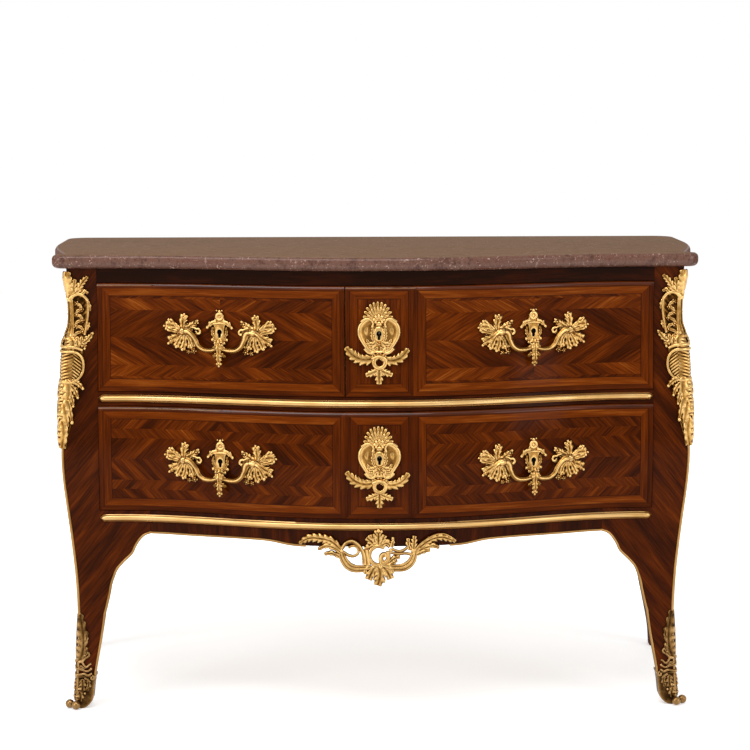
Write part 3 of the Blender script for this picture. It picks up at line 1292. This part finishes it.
mount_leaves = [
    ((-67, 329), (-86, 347), (-107, 353), (-130, 353), (-148, 342), 9.4, 9),
    ((-66, 325), (-83, 336), (-98, 339), (-113, 331), 6.4, 4), ((-69, 317), (-86, 325), (-101, 323), 5.4, 3),
    ((1, 339), (1, 352), (1, 365), 10, 4), ((-4, 340), (-12, 348), (-21, 356), 9.4, 3),
    ((-2, 341), (-8, 353), (-11, 362), 8, 3), ((4, 341), (9, 352), (13, 360), 8, 3),
    ((6, 340), (16, 345), (24, 338), 8, 3), ((26, 336), (28, 346), (28, 354), 4.6, 3),
    ((70, 326), (85, 341), (102, 351), (120, 354), (136, 349), (147, 344), 7.6, 8),
    ((70, 326), (90, 335), (105, 338), (116, 333), 6.4, 4), ((71, 321), (85, 327), (99, 329), 4.8, 3),
    ((67, 328), (68, 344), (69, 358), 7, 4), ((61, 330), (57, 343), (57, 354), 5.6, 3),
    ((20, 306), (30, 315), (42, 319), 6, 3), ((18, 302), (30, 308), (36, 312), 4.6, 3),
    ((1, 304), (4, 283), (-1, 264), 13, 4), ((-5, 302), (-13, 287), (-18, 275), 10, 3),
    ((9, 302), (19, 288), (24, 276), 10, 3), ((-12, 300), (-22, 296), (-24, 285), 5, 2),
    ((16, 299), (25, 296), (27, 286), 5, 2),
]
mount_beads = [
    (1, 368.5, 4.2), (-4.5, 367, 3.2), (6.5, 367, 3.2), (5, 300, 5), (-9, 300, 4), (17, 300, 4.4), (15, 324, 3),
    (28, 354, 3), (24, 331, 4), (-20, 340, 3.4), (-68, 330, 4.2), (66, 330, 4.4),
]
mount_proud, arm_height, arm_foot = 0.6, 5.4, 297
shaded_bronze = gilding("shaded_bronze", (204, 166, 104), (134, 95, 44), (60, 34, 10))


def reed(knots, lane):
    """One of the three reeds of an arm, beside its middle line or raised along it."""
    return [(x * (1 + 0.058 * lane), -arm_height - 1.6 * (lane == 0),
             z - 4.6 * lane * (1 - abs(z - arm_foot) / 40)) for x, z in knots]


cast = Casting(lambda p: Vector((p.x, front_y(p.x, max(p.z, apron_foot)) - mount_proud + p.y, p.z)))
for knots in mount_arms:
    for lane in (-1, 0, 1):
        cast.add(scroll(reed(knots, lane), 2.2, 3.0, 5, 10, 0, lambda share: math.sin(math.pi * share)))
cast.scrolls(mount_scrolls, arm_height, 5, 12, 3)
cast.leaves(mount_leaves, 5.2, 3.6, 0.5, 3.4)
cast.add(scroll(curl(2, 321, 18.6, 55, 0.92, 5.8, 0.98), 4.0, 4.6, 4, 12))
cast.beads(mount_beads, 6)
set_piece("apron_mount_cast", cast.chased(), "case", shaded_bronze, ["apron_mount"])

# Chutes
# Tall corner mounts that wrap the front edge of each stile: a spray of leaves over a panel with a
# string of flowers between two rails, a ribbed shell in an oval scroll, and a long leafy tail.
chute_low, chute_high, chute_reach = 510, 836, 36
chute_line = [
    (0, 0.16), (0.05, 0.22), (0.13, 0.36), (0.18, 0.4), (0.24, 0.3), (0.3, 0.44), (0.35, 0.58), (0.4, 0.62),
    (0.48, 0.78), (0.56, 0.7), (0.62, 0.72), (0.7, 0.8), (0.84, 0.92), (0.92, 0.8), (1, 0.4),
]
# How far the casting stands off the edge of the stile, from its foot to its top
chute_stand = [
    (0, 2.5), (0.11, 5), (0.2, 8), (0.28, 10), (0.4, 10.5), (0.54, 12), (0.59, 12), (0.64, 8.5), (0.69, 3),
    (0.73, -1.2), (0.87, -1.6), (0.96, 0.5), (1, 3),
]
chute_leaves = [
    ((2, 800), (1, 822), (2, 849), 9, 5), ((10, 803), (10, 818), (14, 834), 6.4, 4),
    ((12, 803), (24, 824), (38, 839), 7, 6), ((20, 800), (29, 810), (36, 806), 5, 3),
    ((5, 803), (17, 812), (27, 816), 5.6, 4), ((33, 794), (37, 784), (37, 772), 3.4, 3),
    ((22, 712), (32, 718), (42, 732), 6.4, 5), ((14, 712), (24, 710), (32, 705), 5, 3),
    ((3, 726), (7, 714), (5, 699), 6.4, 4), ((13, 726), (14, 714), (17, 702), 6, 4),
    ((22, 726), (21, 714), (25, 704), 5, 3), ((30, 736), (34, 744), (35, 752), 3.4, 3),
    ((6, 642), (18, 638), (30, 626), 6.4, 5), ((6, 634), (15, 624), (22, 609), 6, 4),
    ((5, 622), (11, 609), (15, 593), 5.4, 4), ((4, 644), (6, 620), (5, 596), 5.6, 4),
    ((4, 606), (10, 584), (15, 561), 5.6, 4), ((3, 598), (5, 574), (7, 552), 5, 4),
    ((2, 566), (4, 540), (2, 511), 5.4, 5),
]
chute_beads = [
    (30, 626, 3.4), (22, 609, 3.2), (15, 593, 3), (15, 562, 4.2), (42, 731, 2.4), (34, 790, 2.6), (28, 702, 3),
]
chute_scrolls = [
    ((1, 792), (6, 801), (16, 805), (26, 802), (33, 794), 3.4, 3.4),
    ((33, 795), (33, 770), (30, 748), (27, 728), 2.8, 2.4), ((3.5, 794), (4.5, 760), (4.5, 726), 2, 2),
    ((-14, 704), (0, 706), (13, 704), (24, 699), 3.4, 3),
    ((-1, 697), (13, 695), (24, 685), (28, 669), (26, 654), (18, 643), (8, 638), (-1, 640), 3.4, 2.8),
]


def round_corner(flip, stand=((0, 0),)):
    """Lays an element round the edge of the stile: x runs from the edge in along the front face, or
    with `flip` of -1 along the side face. `stand` lifts it off the edge."""
    bend = 8
    quarter = bend * math.pi / 4

    def lay(p):
        reach = flip * p.x
        middle = Vector((corner_half + swell(p.z) - bend, -swell(p.z) + bend, p.z))
        share = clamp((p.z - chute_low) / (chute_high - chute_low))
        lift = mount_seat + along(stand, share) * (1 + math.cos(math.pi * min(1, abs(reach) / 42))) / 2
        if abs(reach) >= quarter:
            along_face, out = abs(reach) - quarter, lift - p.y
            if reach > 0:
                return middle + Vector((-along_face, -bend - out, 0))
            return middle + Vector((bend + out, along_face, 0))
        turned = math.pi / 4 - abs(reach) / bend
        out = bend / math.cos(turned) + lift - p.y - 0.5 * (math.pi / 4 - abs(turned - math.pi / 4))
        angle = -math.pi / 4 - reach / bend
        return middle + Vector((math.cos(angle), math.sin(angle), 0)) * out

    return lay


def chute_ground(a, b):
    z = mix(chute_low + 2, chute_high - 4, b)
    reach = 0.94 * chute_reach * along(chute_line, b)
    return (2 * a - 1) * reach, -2.4 - 0.5 * math.sin(z * 0.9) * math.sin((a - 0.5) * 31), z


def chute_dome(a, b):
    """The ribbed oval shell; two smooth furrows run down it."""
    u, v = 2 * a - 1, 2 * b - 1
    x, z = 25 * u * math.sqrt(1 - v * v / 2), 29 * v * math.sqrt(1 - u * u / 2)
    swollen = max(0, 1 - (x / 25.5) ** 2 - (z / 29.5) ** 2)
    rib = math.sin((z + 0.8 * abs(abs(x) - 6)) * 2 * math.pi / 6.2) * (0.2 if 4 < abs(x) < 8 else 1)
    return x, -3.0 - 2.6 * swollen**0.6 - 1.1 * rib, 668 + z


def chute():
    """A corner mount: the ground and the dome first, then each face's leaves, scrolls and flowers."""
    cast = Casting(round_corner(1, chute_stand))
    cast.add(thicken(sheet(16, 72, chute_ground), (0, 2.0, 0)))
    cast.add(thicken(sheet(24, 40, chute_dome), (0, 1.6, 0)))
    cast.beads([(0, 640 - 6.8 * step, 3.5 - 0.07 * step) for step in range(11)], 3.6)
    for flip in (1, -1):
        cast.lay = round_corner(flip, chute_stand)
        cast.leaves(chute_leaves, (4.4, 5.4, 3.6), 3.0)
        cast.beads(chute_beads, 4.4)
        cast.scrolls(chute_scrolls, 4.8, 5)
        cast.add(scroll(curl(30, 722, 4.6, 200, 0.9, 5, 0.4), 2.0, 2.0, 3))
        for step in range(6):
            x, z = 16 + (6 if step % 2 else -6) * (0.6 + 0.1 * step), 787 - 10.5 * step
            cast.add(flower(x, 3.6, z, 6.0))
            cast.leaves([((x, z), (32 - x, z - 4), (29 - 0.8 * x, z - 10), 3.6, 2)], (4, 5.5, 4), 2.4)
    return cast.chased()


set_pair("chute_cast", chute, gilt_bronze, "{}_chute")

# Sabots
# Cast shoes over the front feet: rolled toes at the corner, a shoe with a leaf on each face, a collar
# of scrolls, and a spray of leaves that climbs the edge of the leg.
worn_bronze = gilding("worn_bronze", (176, 140, 92), (116, 84, 44), (58, 37, 16))
sabot_top, sabot_wall = 64, 2.4
toe_radius, toe_height, toe_proud, toe_aside = 8.6, 9.2, 5.2, 6.6
sabot_leaves = [
    ((3, 92), (8, 128), (3, 186), 8.5, 7), ((7, 120), (13, 136), (14, 152), 4.5, 3),
    ((7, 96), (13, 108), (14, 122), 4, 3), ((8, 58), (10, 44), (7, 28), 7, 4),
    ((19, 58), (21, 46), (18, 34), 5, 3), ((4, 34), (7, 24), (5, 14), 6, 3), ((2, 84), (8, 80), (16, 82), 4, 3),
]
sabot_scrolls = [
    ((6.5, 92), (11.5, 98), (19, 103.5), (17, 109), (11.5, 108), (11, 103), 2.6, 1.8),
    ((6.5, 92), (9, 86), (15, 81.5), (20.5, 86), (24, 88), 2.4, 2),
    ((-1, 78), (8, 76), (16, 73), (24, 77), 2.4, 2.2), ((0, 65), (10, 68), (19, 65), (26, 69), 2.8, 2.4),
    ((12, 60), (20, 55), (22, 44), (17, 40), 2.6, 2),
]
sabot_beads = [(5, 39, 3.2), (14, 30, 2.6), (11, 104, 2.4), (4, 92, 3.2), (3, 24, 3), (24, 78, 2.6)]


def foot_loop(z, wall):
    """A ring round the foot, `wall` outside its faces, with its corners eased."""
    outer, face = corner_half + swell(z) + wall, -swell(z) - wall
    width = foot_width(z) + 2 * wall
    eased = 6 / width
    corners = [Vector((outer - width * inward, face + width * back, z))
               for inward, back in ((0, 0), (0, 1), (1, 1), (1, 0))]
    loop = []
    for i, corner in enumerate(corners):
        before, after = corners[i - 1], corners[(i + 1) % 4]
        loop += [corner.lerp(before, share) for share in (0.5, 0.3, eased)]
        loop.append(corner.lerp((before + after) / 2, 0.3 * eased))
        loop += [corner.lerp(after, share) for share in (eased, 0.3)]
    return loop


def shoe(top, wall):
    """A cup round the foot, drawn in at the floor, with a raised band round its top."""
    levels = [(0, wall - 3.0), (1.5, wall - 1.4), (4, wall - 0.4), (8, wall)]
    levels += [(z, wall) for z in range(14, top - 5, 6)]
    levels += [(top - 4, wall), (top - 3, wall + 1.2), (top - 0.6, wall + 1.2), (top, wall - 0.6), (top, 0.2)]
    loops = [foot_loop(z, grown) for z, grown in levels]
    return roll_up(len(loops[0]), len(loops), lambda i, k: loops[k][i])


def sabot():
    cast = Casting()
    cast.add(shoe(sabot_top, sabot_wall), 4)
    toe_out = corner_half + swell(10) + toe_proud, -swell(10) - toe_proud
    for aside in (-toe_aside, toe_aside):
        cast.add(ball((toe_out[0] + aside, toe_out[1] + aside, toe_height), toe_radius, 16, 10), 6)
    for flip in (1, -1):
        cast.lay = round_corner(flip)
        cast.leaves(sabot_leaves, (3.4, 4.2, 2.8), 2.4, 0.5, 3.0)
        cast.scrolls(sabot_scrolls, 3.4)
        cast.add(scroll(curl(27, 60, 4.5, 90, -1.0, 3.6), 2.1, 2.1, 3))
        cast.beads(sabot_beads, 4.2)
    return cast.chased()


set_pair("sabot_cast", sabot, worn_bronze, "front_{}_sabot")
